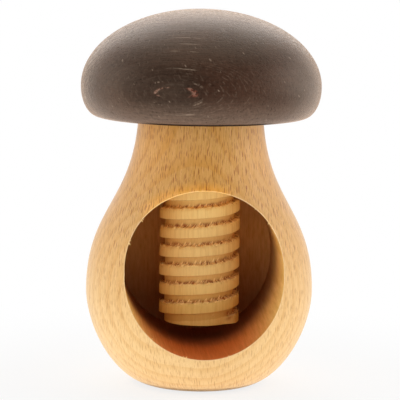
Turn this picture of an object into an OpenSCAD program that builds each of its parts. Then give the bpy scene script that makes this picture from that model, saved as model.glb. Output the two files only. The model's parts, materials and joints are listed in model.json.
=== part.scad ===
// Screw nutcracker turned in wood in the form of a mushroom.
// The stem is bored from the front into a nut chamber. A wooden screw runs down through the neck
// into the chamber, and the domed cap on its top is the handle that turns it.
// Millimetres, +Z up, origin at the centre of the flat base. The chamber's mouth faces -Y.

/* [Body] */
// Height of the body, from the base to the top of the neck
body_h = 100.2; // [94:0.2:115]
// Diameter of the flat base
base_d = 38.5; // [26:0.5:56]
// Diameter of the belly at its widest
belly_d = 84.8; // [76:0.2:100]
// Height of the widest place of the belly
belly_z = 34.9; // [28:0.1:42]
// Roundness of the underside of the belly: 2 is an ellipse, less is leaner
belly_round = 1.72; // [1.4:0.01:2.4]
// How far the belly's upright flank runs on before it turns in
belly_hold = 30.7; // [20:0.1:36]
// Diameter of the neck under the cap
neck_d = 46.5; // [42:0.1:56]
// How far the neck's own line reaches down into the shoulder
neck_hold = 32.5; // [20:0.1:36]
// How much wider the neck's line is at the end of that reach
neck_flare = 1.8; // [0:0.1:6]

/* [Nut chamber] */
// Diameter of the boring tool, the width of the chamber
chamber_d = 58; // [50:0.2:62]
// How much taller than wide the chamber is bored
chamber_stretch = 2.4; // [0:0.1:6]
// Wood under the chamber floor, at its lowest line
floor_t = 15.3; // [10:0.1:18]
// Wood behind the chamber's flat back, at the belly
back_t = 17.9; // [15:0.1:26]

/* [Screw] */
// Outer diameter of the screw, over the ridge
screw_d = 30; // [24:0.2:33]
// Depth of the thread
thread_depth = 2.05; // [1.2:0.05:2.6]
// Rise of the thread in one turn, right-handed
pitch = 7.1; // [6.4:0.1:9]
// Width of the flat top of the ridge
ridge_w = 4.1; // [2.6:0.05:4.6]
// Width taken by each sloping side of the ridge
flank_w = 0.4; // [0.2:0.05:0.6]
// Place where the ridge starts at the tip, in degrees to the right of the front
ridge_start = 46; // [0:1:90]
// Length over which the ridge rises at its start, in degrees of turn
ridge_rise = 10; // [10:5:60]
// Gap between the tip of the screw and the chamber floor, with the cap screwed down
tip_gap = 8; // [4:0.5:30]
// Running clearance of the screw in the threaded neck
thread_clear = 0.35; // [0.3:0.05:0.5]

/* [Cap] */
// Diameter of the cap at its widest
cap_d = 89.4; // [80:0.2:110]
// Height of the cap, from its flat underside to its crown
cap_h = 39.6; // [34:0.2:60]
// Height of the widest place of the cap above its underside
cap_lip_h = 11.1; // [6:0.1:16]
// Diameter of the flat underside
cap_flat_d = 77; // [60:0.5:78]
// Gap between the underside and the neck, with the cap screwed down
seat_gap = 0.2; // [0.2:0.05:1]
// Depth of the socket in the cap that holds the top of the screw
socket_depth = 8; // [4:0.5:12]
// Clearance of the screw in that socket, filled with glue
socket_clear = 0.15; // [0.05:0.05:0.4]

/* [Dowel] */
// Diameter of the hidden dowel that ties the screw to the cap
dowel_d = 12; // [8:0.5:14]
// Length of the dowel, half in the screw and half in the cap
dowel_len = 40; // [24:1:44]
// Glue line round the dowel
dowel_clear = 0.1; // [0.05:0.05:0.3]
// Glue space at each end of the dowel
dowel_end = 0.5; // [0.2:0.1:2]

/* [Hidden] */
$fn = 96;

// Facets in one turn of the thread
turn_steps = 36;
// Points along the lower belly, the shoulder, the cap's lip and its dome
belly_steps = 14;
shoulder_steps = 18;
lip_steps = 10;
dome_steps = 18;
// Overlap of a cut past the face that it opens
over = 2;

base_r = base_d / 2;
belly_r = belly_d / 2;
neck_r = neck_d / 2;
cap_r = cap_d / 2;
cap_flat_r = cap_flat_d / 2;
screw_r = screw_d / 2;
root_r = screw_r - thread_depth;

chamber_r = chamber_d / 2;
chamber_low_z = floor_t + chamber_r;
chamber_high_z = chamber_low_z + chamber_stretch;
chamber_mid_z = (chamber_low_z + chamber_high_z) / 2;
chamber_back_y = belly_r - back_t;

tip_z = floor_t + tip_gap;
under_z = body_h + seat_gap;
screw_top_z = under_z + socket_depth;
cap_widest_z = under_z + cap_lip_h;
cap_top_z = under_z + cap_h;

// Quarter of a rounded corner from [0, 0], leaving level, to [1, 1], arriving upright
function corner(i, steps, roundness) =
    let (a = 90 * i / steps)
    [pow(sin(a), 2 / roundness), 1 - pow(cos(a), 2 / roundness)];

// Point on the curve that leaves a towards b and arrives at d from c
function bezier(a, b, c, d, t) =
    pow(1 - t, 3) * a + 3 * t * pow(1 - t, 2) * b + 3 * t * t * (1 - t) * c + pow(t, 3) * d;

// Half section of the body: flat base, lower belly, shoulder and neck
body_section = concat(
    [[0, 0]],
    [for (i = [0:belly_steps])
        let (c = corner(i, belly_steps, belly_round))
        [base_r + (belly_r - base_r) * c[0], belly_z * c[1]]],
    [for (i = [1:shoulder_steps])
        bezier([belly_r, belly_z], [belly_r, belly_z + belly_hold],
               [neck_r + neck_flare, body_h - neck_hold], [neck_r, body_h], i / shoulder_steps)],
    [[0, body_h]]);

// Half section of the cap: flat underside, rounded lip and elliptic dome
cap_section = concat(
    [[0, under_z]],
    [for (i = [0:lip_steps])
        let (c = corner(i, lip_steps, 2))
        [cap_flat_r + (cap_r - cap_flat_r) * c[0], under_z + cap_lip_h * c[1]]],
    [for (i = [1:dome_steps])
        let (a = 90 * i / dome_steps)
        [cap_r * cos(a), cap_widest_z + (cap_h - cap_lip_h) * sin(a)]]);

// Share of its full height that the ridge has after this many turns from the front of the tip
function ridge_share(turns) =
    let (t = min(1, max(0, (turns * 360 - ridge_start) / ridge_rise)))
    t * t * (3 - 2 * t);

// Four points across the ridge after this many turns: foot, edge, edge, foot.
// The middle of the ridge crosses the height of the tip at the front, and rises to the right.
function ridge_points(turns, grow, plain) =
    let (
        a = 360 * turns - 90,
        mid = tip_z + pitch * turns,
        low_r = root_r + grow,
        high_r = low_r + thread_depth * (plain ? 1 : ridge_share(turns)),
        edge = ridge_w / 2 + grow,
        foot = edge + flank_w)
    [for (p = [[low_r, -foot], [high_r, -edge], [high_r, edge], [low_r, foot]])
        [p[0] * cos(a), p[0] * sin(a), mid + p[1]]];

// Threaded bar between two heights, grown all round by a clearance.
// The ridge and the root are one helical strip, closed by a cone at each end, and the ends
// are then cut square.
module threaded_bar(low_z, high_z, grow, plain) {
    first = floor((low_z - tip_z) / pitch) - 1;
    last = ceil((high_z - tip_z) / pitch) + 1;
    count = (last - first) * turn_steps;
    points = concat(
        [for (i = [0:count]) each ridge_points(first + i / turn_steps, grow, plain)],
        [[0, 0, tip_z + pitch * (first - 1)], [0, 0, tip_z + pitch * (last + 1)]]);
    bottom = 4 * (count + 1);
    top = bottom + 1;
    end = count - turn_steps;
    strip = [for (i = [0:count - 1], j = [0:2])
        [4 * i + j, 4 * i + j + 1, 4 * i + j + 5, 4 * i + j + 4]];
    root = [for (i = [0:end - 1])
        [4 * i + 3, 4 * (i + turn_steps), 4 * (i + turn_steps) + 4, 4 * i + 7]];
    bottom_fan = [for (i = [0:turn_steps - 1]) [bottom, 4 * i, 4 * i + 4]];
    bottom_step = concat(
        [for (j = [0:2]) [bottom, j + 1, j]],
        [[bottom, 4 * turn_steps, 3]]);
    top_fan = [for (i = [end:count - 1]) [top, 4 * i + 7, 4 * i + 3]];
    top_step = concat(
        [for (j = [0:2]) [top, 4 * count + j, 4 * count + j + 1]],
        [[top, 4 * end + 3, 4 * count]]);
    intersection() {
        polyhedron(points, concat(strip, root, bottom_fan, bottom_step, top_fan, top_step));
        translate([0, 0, low_z])
            cylinder(r = screw_d, h = high_z - low_z);
    }
}

// Round hole for half of the dowel, on both sides of the joint between screw and cap
module dowel_hole() {
    translate([0, 0, screw_top_z - dowel_len / 2 - dowel_end])
        cylinder(d = dowel_d + 2 * dowel_clear, h = dowel_len + 2 * dowel_end);
}

// One plunge of the boring tool from the front, at this height
module chamber_bore(z) {
    translate([0, chamber_back_y, z])
        rotate([90, 0, 0])
            cylinder(r = chamber_r, h = chamber_back_y + belly_r + over);
}

// Turned stem with the nut chamber and the threaded neck
module body() {
    color([0.86, 0.66, 0.42])
        difference() {
            rotate_extrude()
                polygon(body_section);
            chamber_bore(chamber_low_z);
            chamber_bore(chamber_high_z);
            threaded_bar(chamber_mid_z, body_h + over, thread_clear, true);
        }
}

// Wooden screw that presses the nut, sawn square at the tip
module press_screw() {
    color([0.82, 0.62, 0.39])
        difference() {
            threaded_bar(tip_z, screw_top_z, 0, false);
            dowel_hole();
        }
}

// Stained cap, the handle
module cap() {
    color([0.31, 0.25, 0.21])
        difference() {
            rotate_extrude()
                polygon(cap_section);
            translate([0, 0, under_z - over])
                cylinder(r = screw_r + socket_clear, h = socket_depth + over);
            dowel_hole();
        }
}

// Hidden dowel along the axis
module cap_dowel() {
    color([0.78, 0.60, 0.38])
        translate([0, 0, screw_top_z - dowel_len / 2])
            cylinder(d = dowel_d, h = dowel_len);
}

body();
press_screw();
cap();
cap_dowel();
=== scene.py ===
"""Screw nutcracker turned in wood in the form of a mushroom: stem, press screw, cap and stage.

Metres, +Z up, origin at the centre of the flat base, the chamber's mouth faces -Y.
Every piece is one or more sheets, grids of points worked out from two parameters, sewn into one mesh.
"""

import json
import math

import bmesh
import bpy
import numpy as np
from bpy.props import FloatProperty, FloatVectorProperty, IntProperty, PointerProperty
from mathutils import Matrix, Vector


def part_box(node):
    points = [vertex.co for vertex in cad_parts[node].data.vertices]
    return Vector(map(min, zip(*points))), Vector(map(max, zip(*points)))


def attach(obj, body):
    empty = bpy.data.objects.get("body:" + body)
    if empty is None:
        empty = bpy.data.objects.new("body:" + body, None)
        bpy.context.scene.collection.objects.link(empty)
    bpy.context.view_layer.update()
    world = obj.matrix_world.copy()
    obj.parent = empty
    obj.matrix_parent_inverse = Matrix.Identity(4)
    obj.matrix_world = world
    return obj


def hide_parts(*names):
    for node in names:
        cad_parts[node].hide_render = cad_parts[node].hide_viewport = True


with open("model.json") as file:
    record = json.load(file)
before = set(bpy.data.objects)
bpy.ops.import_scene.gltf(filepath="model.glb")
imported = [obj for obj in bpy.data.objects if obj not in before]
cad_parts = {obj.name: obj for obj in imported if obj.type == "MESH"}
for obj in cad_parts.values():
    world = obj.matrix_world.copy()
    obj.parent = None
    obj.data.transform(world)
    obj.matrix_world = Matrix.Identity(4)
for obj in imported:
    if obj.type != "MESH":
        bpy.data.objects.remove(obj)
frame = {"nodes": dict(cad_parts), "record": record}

bl_info = {
    "name": "Mushroom screw nutcracker",
    "version": (1, 0, 0),
    "blender": (4, 5, 0),
    "location": "3D View > Sidebar > Nutcracker",
    "description": "Turns the stem, the press screw and the cap of a wooden screw nutcracker",
    "category": "Object",
}

MM = 0.001
UP = np.array([0, 0, 1.0])
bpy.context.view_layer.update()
_, STEM_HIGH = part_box("body")
SCREW_LOW, SCREW_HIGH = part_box("press_screw")
CAP_LOW, CAP_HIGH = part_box("cap")
PITCH = math.tau * frame["record"]["behaviour"]["couplings"][0]["ratio"]


def length(name, description, millimetres):
    """A length that a user can set, given in millimetres and kept in metres."""
    return FloatProperty(name=name, description=description, default=millimetres * MM, min=0,
                         precision=5, unit="LENGTH")


def angle(name, description, degrees):
    """An angle that a user can set, given in degrees."""
    return FloatProperty(name=name, description=description, default=math.radians(degrees),
                         subtype="ANGLE")


def share(name, description, default):
    """A plain number that a user can set."""
    return FloatProperty(name=name, description=description, default=default)


def power(name, description, default):
    """A lamp's power in watts that a user can set."""
    return FloatProperty(name=name, description=description, default=default, min=0, unit="POWER")


def tone(name, description, red, green, blue):
    """A colour that a user can set, given as it looks on a screen, 0 to 255, and kept linear."""
    seen = np.array([red, green, blue]) / 255
    linear = np.where(seen <= 0.04045, seen / 12.92, ((seen + 0.055) / 1.055) ** 2.4)
    return FloatVectorProperty(name=name, description=description, default=linear.tolist(),
                               size=3, min=0, max=1, subtype="COLOR")


class StemSizes(bpy.types.PropertyGroup):
    """Sizes of the turned stem and its nut chamber."""

    height: length("Height", "From the base to the top of the neck", STEM_HIGH.z / MM)
    base_r: length("Base radius", "Radius of the flat base", 19.25)
    belly_r: length("Belly radius", "Radius of the belly at its widest", 42.4)
    belly_z: length("Belly height", "Height of the widest place of the belly", 34.9)
    belly_round: share("Belly roundness", "Belly's underside: 2 is an ellipse, less is leaner", 1.72)
    belly_hold: length("Belly hold", "How far the upright flank runs on before it turns in", 30.7)
    neck_r: length("Neck radius", "Radius of the neck under the cap", 23.25)
    neck_hold: length("Neck hold", "How far the neck's line reaches down into the shoulder", 32.5)
    neck_flare: length("Neck flare", "How much wider the neck's line is at the end of that reach", 1.8)
    mouth_r: length("Mouth radius", "Radius of the boring tool", 29)
    mouth_lift: length("Mouth lift", "Half of how much taller than wide the mouth is", 1.2)
    floor_z: length("Chamber floor", "Height of the chamber floor at its lowest line", 15.3)
    back_y: length("Chamber back", "Place of the chamber's flat back behind the axis", 24.5)
    splinter_long: length("Splinter length", "Length of the longest splinter on the rim", 1.3)
    rim_round: length("Rim rounding", "How far the mouth's sanded edge is rounded", 0.4)


class ScrewSizes(bpy.types.PropertyGroup):
    """Sizes of the press screw and its thread."""

    outer_r: length("Outer radius", "Radius over the ridge", 15)
    depth: length("Thread depth", "Height of the ridge", 2.05)
    pitch: length("Pitch", "Rise of the thread in one turn", PITCH / MM)
    ridge_w: length("Ridge width", "Width of the flat top of the ridge", 4.1)
    flank_w: length("Flank width", "Width taken by each side of the ridge", 0.4)
    ridge_start: angle("Ridge start", "Where the ridge starts at the tip, right of the front", 40)
    ridge_rise: angle("Ridge rise", "Turn over which the ridge rises at its start", 24)
    tip_z: length("Tip height", "Height of the sawn tip", SCREW_LOW.z / MM)
    top_z: length("Top height", "Height of the end in the cap's socket", SCREW_HIGH.z / MM)
    clear: length("Clearance", "Running clearance in the threaded neck", 0.35)
    dowel_r: length("Dowel hole radius", "Radius of the blind hole for the dowel", 6.1)
    dowel_z: length("Dowel hole floor", "Height of the floor of that hole", 87.9)
    broken: length("Broken edge", "How far the ridge's upper edge is broken away", 0.3)
    worn: length("Worn edge", "How far the ridge's upper edge is worn round", 0.35)
    chip: length("Chipping", "How deep the upper edge of the ridge is chipped", 0.4)
    teeth: length("Torn teeth", "How far the ridge's upper edge is torn upwards", 0.24)
    fibres: IntProperty(name="Fibres", description="Torn fibres along the ridge", default=560, min=1)
    fibre_long: length("Fibre length", "Length of the longest torn fibre", 2.3)
    fibre_wide: length("Fibre width", "Half the width of the widest torn fibre", 0.2)


class CapSizes(bpy.types.PropertyGroup):
    """Sizes of the domed cap."""

    radius: length("Radius", "Radius at the widest place", 44.7)
    flat_r: length("Flat radius", "Radius of the flat underside", 38.5)
    under_z: length("Underside", "Height of the flat underside", CAP_LOW.z / MM)
    widest_z: length("Widest", "Height of the widest place", CAP_LOW.z / MM + 11.1)
    top_z: length("Crown", "Height of the crown", CAP_HIGH.z / MM)
    socket_r: length("Socket radius", "Radius of the socket for the screw", 15.15)
    socket_z: length("Socket floor", "Height of the floor of that socket", SCREW_HIGH.z / MM)
    dowel_r: length("Dowel hole radius", "Radius of the blind hole for the dowel", 6.1)
    dowel_z: length("Dowel hole end", "Height of the end of that hole", 128.9)


class WoodTones(bpy.types.PropertyGroup):
    """Colours of the woods."""

    beech_pale: tone("Pale beech", "Wood of the belly", 242, 204, 144)
    beech_warm: tone("Warm beech", "Wood of the neck and the late rings", 212, 146, 53)
    beech_fleck: tone("Beech fleck", "Short dark rays, laid over the wood", 184, 122, 52)
    # Partly sanded wood, partly a painted highlight along the mouth's rounded edge
    rim_pale_and_highlight: tone("Sanded rim", "Fresh wood on the mouth's rounded edge", 252, 216, 160)
    bore_pale: tone("Bored beech", "Cut wood of the chamber's wall", 252, 207, 120)
    # Painted shade: redder, darker tone deeper in the chamber and towards its floor
    bore_shaded_red: tone("Oiled bore", "Chamber floor and back, red with oil", 216, 107, 38)
    # Painted shade at the foot of the chamber's back
    bore_deep: tone("Dark bore", "Foot of the chamber's back", 150, 78, 40)
    screw_pale: tone("Screw beech", "Pale wood of the screw", 244, 201, 126)
    screw_warm: tone("Screw grain", "Grain lines of the screw", 220, 166, 90)
    # Painted shade, laid over the wood, that darkens the screw towards its tip
    tip_shade: tone("Oiled tip", "Oil in the screw's tip, laid over the wood", 235, 230, 200)
    # Painted shade: darker, warmer tone at the thread's root
    groove_shade: tone("Groove", "Scraped wood at the thread's root", 208, 146, 66)
    # Red-brown band at the ridge's upper edge: partly torn wood, partly painted shade between and
    # behind the torn blades
    torn_and_shade: tone("Torn wood", "Burnt and torn wood at the ridge's upper edge", 152, 70, 30)
    fibre_pale: tone("Fibre", "Torn fibres", 252, 210, 138)
    stain_dark: tone("Stain", "Dark stain of the cap", 54, 36, 26)
    # Darker heart of the rings on the cap's front: partly stain, partly painted shade
    heart_stain_and_shade: tone("Stain heart", "Stain in the middle of the rings", 36, 18, 10)
    lip_shade: tone("Lip shade", "Dark line along the lip's foot before the neck", 22, 8, 2)
    # Painted reflection: the lip's lower part is paler, as if it mirrored the white table
    lip_painted_reflection: tone("Worn lip", "Stain rubbed thin on the lower edge", 128, 107, 92)
    stain_brown: tone("Worn stain", "Stain where it is thin", 76, 52, 39)
    stain_red: tone("Red stain", "Stain to the right of the rings", 64, 34, 22)
    stain_pale: tone("Stain ring", "Pale pores and rings in the stain", 172, 149, 128)
    # Partly stain rubbed off the grain, partly a painted sheen along the dome's outline seen from the
    # front, at the crown and on the right
    frost_and_sheen_tone: tone("Frosted stain", "Stain rubbed off the grain at the dome's edges", 198, 175, 152)
    worn_red: tone("Worn spot", "Red wood at the worn spots", 120, 50, 34)


class StageSetup(bpy.types.PropertyGroup):
    """Camera and lights."""

    azimuth: angle("Azimuth", "Side on which the camera stands, from the front", -3.7)
    elevation: angle("Elevation", "Height of the camera above the horizon", 7.75)
    roll: angle("Roll", "Turn of the camera about its view", 0.67)
    distance: length("Distance", "From the camera to the axis", 880)
    aim_z: length("Aim", "Height on the axis that the elevation is taken from", 70)
    drop: length("Drop", "How far below that the camera looks", 1.32)
    lens: share("Lens", "Focal length in millimetres on a sensor 36 mm wide", 211.9)
    front_sky: share("Front sky", "Strength of the even light from the camera's side", 0.38)
    back_sky: share("Back sky", "How much stronger that light is from the far side", 0.46)
    left_power: power("Left light", "Power of the soft light on the left", 1.9)
    right_power: power("Right light", "Power of the soft light on the right", 3.8)
    near_power: power("Near light", "Power of the soft light in front on the left", 1.6)
    back_power: power("Back light", "Power of the soft light behind", 6.2)
    table_power: power("Table light", "Power of the light that comes up from the table", 2.8)


def eased(value, low, high):
    """Smooth step from 0 at low to 1 at high."""
    t = np.clip((value - low) / (high - low), 0, 1)
    return t * t * (3 - 2 * t)


DRAWS = 8192


def wander(places, seed):
    """Smooth random line: random heights from -1 to 1 at whole numbers, eased from one to the next."""
    heights = np.random.default_rng(seed).uniform(-1, 1, DRAWS)
    below = np.floor(places).astype(int)
    step = eased(places - below, 0, 1)
    return heights[below % DRAWS] * (1 - step) + heights[(below + 1) % DRAWS] * step


def points(*axes):
    """Points from their coordinates, each an array or one number for all."""
    return np.stack(np.broadcast_arrays(*axes), -1)


def unit(ways):
    """Each way made one long."""
    return ways / np.linalg.norm(ways, axis=1, keepdims=True)


def turned(radius, height, columns):
    """Surface of revolution: each point of a half section goes round the axis, from the back."""
    turn = np.linspace(-math.pi, math.pi, columns + 1)
    radius, height = np.asarray(radius)[:, None], np.asarray(height)[:, None]
    return points(radius * np.sin(turn), -radius * np.cos(turn), height)


def run_along(*corners, step):
    """Points on straight lines from corner to corner, no farther apart than the step."""
    rows = [np.array(corners[:1], float)]
    for a, b in zip(corners, corners[1:]):
        a, b = np.array(a, float), np.array(b, float)
        count = max(1, math.ceil(np.linalg.norm(b - a) / step))
        rows.append(a + (b - a) * np.linspace(0, 1, count + 1)[1:, None])
    return np.concatenate(rows)


# Distances under which points are merged and edges dropped, and the angle from which an edge is sharp
MERGED, DROPPED, CREASE = 2e-6, 1e-6, math.radians(38)


def sewn(name, sheets):
    """One closed mesh from sheets, which are pairs of a grid of points and a dict of values on it.

    Each grid gives its quads, equal points are merged, what has no area goes, and faces turn outwards.
    """
    places, quads, start = [], [], 0
    values = {key: [] for _, held in sheets for key in held}
    for grid, held in sheets:
        rows, columns = grid.shape[:2]
        number = start + np.arange(rows * columns).reshape(rows, columns)
        quads.append(np.stack([number[:-1, :-1], number[:-1, 1:], number[1:, 1:], number[1:, :-1]],
                              -1).reshape(-1, 4))
        places.append(grid.reshape(-1, 3))
        for key in values:
            values[key].append(np.broadcast_to(held.get(key, 0.0), (rows, columns)).ravel())
        start += rows * columns
    mesh = bpy.data.meshes.new(name)
    mesh.from_pydata(np.concatenate(places), [], np.concatenate(quads).tolist())
    for key, held in values.items():
        layer = mesh.attributes.new(key, "FLOAT", "POINT")
        layer.data.foreach_set("value", np.concatenate(held).astype(np.float32))
    shape = bmesh.new()
    shape.from_mesh(mesh)
    bmesh.ops.remove_doubles(shape, verts=shape.verts, dist=MERGED)
    bmesh.ops.dissolve_degenerate(shape, edges=shape.edges, dist=DROPPED)
    bmesh.ops.recalc_face_normals(shape, faces=shape.faces)
    shape.to_mesh(mesh)
    shape.free()
    mesh.validate()
    mesh.polygons.foreach_set("use_smooth", np.ones(len(mesh.polygons), bool))
    mesh.set_sharp_from_angle(angle=CREASE)
    piece = bpy.data.objects.new(name, mesh)
    bpy.context.scene.collection.objects.link(piece)
    return piece


OUTLINE_POINTS = 900


def stem_outline(size):
    """Half section of the stem, with the length run along it.

    The lower belly is a corner whose radius grows with sin(a) and whose height with 1 - cos(a), sine
    and cosine to the power 2 over the roundness. The shoulder is a cubic curve held upright at the
    belly and along the neck's own line at the top.
    """
    a = np.linspace(0, math.pi / 2, OUTLINE_POINTS)
    power = 2 / size.belly_round
    low = points(size.base_r + (size.belly_r - size.base_r) * np.sin(a) ** power,
                 size.belly_z * (1 - np.abs(np.cos(a)) ** power))
    t = np.linspace(0, 1, OUTLINE_POINTS)[1:, None]
    holds = np.array([[size.belly_r, size.belly_z],
                      [size.belly_r, size.belly_z + size.belly_hold],
                      [size.neck_r + size.neck_flare, size.height - size.neck_hold],
                      [size.neck_r, size.height]])
    high = ((1 - t) ** 3 * holds[0] + 3 * t * (1 - t) ** 2 * holds[1]
            + 3 * t * t * (1 - t) * holds[2] + t ** 3 * holds[3])
    line = np.concatenate([low, high])
    run = np.concatenate([[0], np.cumsum(np.linalg.norm(np.diff(line, axis=0), axis=1))])
    return line[:, 0], line[:, 1], run


def mouth_middle(size):
    """Height of the mouth's middle."""
    return size.floor_z + size.mouth_r + size.mouth_lift


def mouth_reach(size, phi):
    """From the mouth's middle to its rim, by the angle from the top.

    It is the farther of two equal circles, one above the other.
    """
    return (size.mouth_lift * np.abs(np.cos(phi))
            + np.sqrt(size.mouth_r ** 2 - (size.mouth_lift * np.sin(phi)) ** 2))


def mouth_rim(size, phi, grow=0.0):
    """Point on the turned skin where the mouth's section, grown by a little, comes out.

    Its depth is the root of the turned radius squared, at its height, less its place across squared.
    """
    radius, height, _ = stem_outline(size)
    far = mouth_reach(size, phi) + grow
    x, z = far * np.sin(phi), mouth_middle(size) + far * np.cos(phi)
    return points(x, -np.sqrt(np.interp(z, height, radius) ** 2 - x ** 2), z)


# Columns round the stem, rows up its side, and rows on each of its sheets
RING, SIDE = 192, 72
SKIN_ROWS, RIM_ROWS, BACK_ROWS, ROOF_ROWS, HOLE_ROWS, NECK_ROWS, BASE_ROWS = 72, 6, 10, 8, 75, 4, 8
# Points tried on the rim, the power by which the skin's rows crowd to it, half of the ceiling's angle
RIM_POINTS, CROWDED, ROOF_HALF = 6001, 1.6, math.radians(38)
# The neck's thread: slack beside its ridge, slope of its lower end, bevel of its upper one
GROOVE_SLACK, RUN_IN, BEVEL = 0.45 * MM, 0.8, 0.8 * MM
# How far the cut ends look like the bored wood
CUT_END = {"inside": 0.6}


def rows_of(count):
    """Shares from 0 to 1 for a sheet with this many rows, to be spread over its columns and axes."""
    return np.linspace(0, 1, count + 1)[:, None, None]


def stem_sheets(size, screw):
    """Sheets of the stem: skin, rounded rim, bored wall with its ceiling, back, threaded hole, ends.

    The skin is unrolled to a rectangle of angle times belly radius by length along the half section.
    Straight lines run there from the mouth's rim to the rectangle's border, and their points are
    rolled up again on the turned form. The mouth is bored along Y, so the wall is the mouth's section
    drawn back. The ceiling runs from the wall to the threaded hole, whose radius is the hole's less
    the thread's depth times a ridge that follows the helix.
    """
    radius, height, run = stem_outline(size)
    bore, lift = size.mouth_r, size.mouth_lift
    mid_z = mouth_middle(size)
    unroll = size.belly_r

    def wall_at(phi, y):
        """Point on the bored wall at an angle from the top and a depth."""
        far = mouth_reach(size, phi)
        return points(far * np.sin(phi), y, mid_z + far * np.cos(phi))

    def unrolled(point):
        """Place of a point of the skin in the rectangle."""
        return points(np.arctan2(point[..., 0], -point[..., 1]) * unroll,
                      np.interp(point[..., 2], height, run))

    def rolled(flat):
        """Point of the skin at a place in the rectangle."""
        r, turn = np.interp(flat[..., 1], run, radius), flat[..., 0] / unroll
        return points(r * np.sin(turn), -r * np.cos(turn), np.interp(flat[..., 1], run, height))

    across = np.linspace(-math.pi, math.pi, RING + 1) * unroll
    along = np.linspace(0, run[-1], SIDE + 1)
    border = np.concatenate([
        points(across[:-1], 0), points(across[-1], along[:-1]),
        points(across[:0:-1], run[-1]), points(across[0], along[:0:-1]), points(across[:1], 0)])
    mid_run = np.interp(mid_z, height, run)
    phis = np.linspace(math.tau, -math.tau, RIM_POINTS)
    flat_rim = unrolled(mouth_rim(size, phis))
    bearing = np.unwrap(np.arctan2(flat_rim[:, 1] - mid_run, flat_rim[:, 0])) - math.tau
    wanted = np.unwrap(np.arctan2(border[:, 1] - mid_run, border[:, 0]))
    phi = np.interp(wanted, bearing, phis)

    out = rows_of(SKIN_ROWS) ** CROWDED
    skin = rolled((1 - out) * unrolled(mouth_rim(size, phi, size.rim_round)) + out * border)
    edge = mouth_rim(size, phi)
    inner = edge + np.array([0, size.rim_round, 0])
    t = rows_of(RIM_ROWS)
    rim = (1 - t) ** 2 * skin[0] + 2 * t * (1 - t) * edge + t * t * inner

    top = RING + SIDE + RING // 2
    half = int(np.sum(np.abs(phi[RING + SIDE:top]) < ROOF_HALF))
    depths = (RING - 4 * half) // 2
    right, left = top - half, top + half
    deep = np.linspace(0, 1, depths + 1)[:, None]
    wall_y = inner[:, 1] + (size.back_y - inner[:, 1]) * deep
    wall = wall_at(np.broadcast_to(phi, wall_y.shape), wall_y)
    middle = np.array([0, size.back_y, mid_z])
    back = middle + (wall[-1] - middle) * (1 - rows_of(BACK_ROWS))

    loop = np.concatenate([
        points(phi[top:left], wall_y[-1, top:left]), points(phi[left], wall_y[:0:-1, left]),
        points(phi[left:right:-1], wall_y[0, left:right:-1]), points(phi[right], wall_y[:-1, right]),
        points(phi[right:top + 1], wall_y[-1, right:top + 1])])
    plan = np.unwrap(np.arctan2(loop[:, 1], mouth_reach(size, loop[:, 0]) * np.sin(loop[:, 0])))
    hole_r = screw.outer_r + screw.clear
    hole_x, hole_y = hole_r * np.cos(plan), hole_r * np.sin(plan)
    hole = points(np.arctan2(hole_x, lift + np.sqrt(bore ** 2 - hole_x ** 2)), hole_y)
    inward = rows_of(ROOF_ROWS)
    ceiling = (1 - inward) * loop + inward * hole
    front_y = np.interp(ceiling[..., 0], phi[left:right - 1:-1], inner[left:right - 1:-1, 1])
    roofed = {"inside": 1.0, "deep": (ceiling[..., 1] - front_y) / (size.back_y - front_y)}
    ceiling = wall_at(ceiling[..., 0], ceiling[..., 1])

    rise = rows_of(HOLE_ROWS)[..., 0]
    z = ceiling[-1, :, 2] + (size.height - ceiling[-1, :, 2]) * rise
    turns = (plan + math.pi / 2) / math.tau
    off = (z - screw.tip_z) / screw.pitch - turns
    off = np.abs(off - np.round(off)) * screw.pitch
    slack = screw.clear + GROOVE_SLACK
    ridge = eased(off, screw.ridge_w / 2 + slack, screw.ridge_w / 2 + screw.flank_w + slack)
    thread_r = hole_r - screw.depth * ridge
    thread_r = np.maximum(thread_r, hole_r - RUN_IN * (z - z[0]))
    thread_r = np.maximum(thread_r, hole_r + BEVEL - (size.height - z))
    thread = points(thread_r * np.cos(plan), thread_r * np.sin(plan), z)

    neck = skin[-1, RING + SIDE:2 * RING + SIDE + 1][::-1]
    inward = rows_of(NECK_ROWS)
    neck_top = (1 - inward) * neck + inward * thread[-1]
    base = skin[-1, :RING + 1] * (1 - rows_of(BASE_ROWS))

    bored = rows_of(RIM_ROWS)[..., 0]
    # Share of the paler rim tone over the rounded edge: partly sanded wood, partly a painted highlight
    worn = 1 - np.abs(2 * bored - 0.9) ** 2
    walled = {"inside": 1.0, "deep": deep}
    hidden = {"inside": 1.0, "deep": 1.0}
    return [(skin, {}), (rim, {"inside": bored ** 3, "rim": np.clip(worn, 0, 1)}),
            (wall[:, :right + 1], walled), (wall[:, left:], walled), (back, hidden),
            (ceiling, roofed), (thread, hidden), (neck_top, CUT_END), (base, CUT_END)]


# Splinters on the mouth's edge: angle from the top in degrees, and share of the longest
SPLINTERS = ((-68, 1.0), (-66, 0.6), (-50, 0.9), (-48.5, 0.6), (-167, 0.8), (-165, 0.5), (-140, 0.6),
             (-112, 0.5), (38, 0.5), (52, 0.7), (118, 0.4), (163, 0.5))
# How much they point back and to the sides, the share in the wood, and how far back they start
SPLINTER_INTO, SPLINTER_ASIDE, SPLINTER_ROOT, SPLINTER_BACK = 0.25, 0.9, 0.25, 0.12 * MM
# Half of their width, as a share of their length and a least width
SPLINTER_WIDE, SPLINTER_THIN = 0.16, 0.05 * MM


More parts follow.
